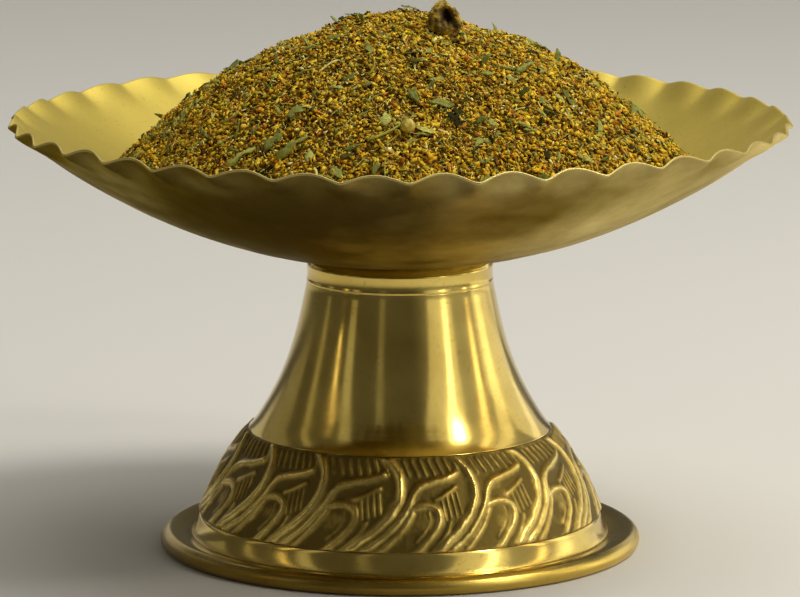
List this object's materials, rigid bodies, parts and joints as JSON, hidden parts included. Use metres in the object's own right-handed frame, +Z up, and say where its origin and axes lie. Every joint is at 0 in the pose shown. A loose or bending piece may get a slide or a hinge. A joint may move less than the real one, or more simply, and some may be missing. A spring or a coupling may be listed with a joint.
{
  "type": "bowl of spice blend",
  "caption": "Shallow scalloped brass dish on a flared hollow pedestal with an embossed leaf band, heaped with a ground spice and herb blend and a dried bud on top.",
  "frame": {"origin": "middle of the foot, on the surface that the dish stands on", "axes": "+Z up along the pedestal's axis, +X to the right and -Y towards the viewer of the picture"},
  "size_m": [0.1498, 0.15, 0.1073],
  "materials": {
    "dish_brass": "satin brass, lightly tarnished outside",
    "pedestal_brass": "polished brass with dark patina in the embossed band",
    "ground_spice": "dry ground spice in ochre, brown and orange-red grains",
    "herb_flakes": "dried grey-green leaf flakes and stalks",
    "dried_bud": "dry brown husk dusted with yellow powder"
  },
  "bodies": {
    "root": {"dish": "dish_brass", "pedestal": "pedestal_brass", "spice_heap": "ground_spice", "dried_bud": "dried_bud"}
  },
  "joints": []
}
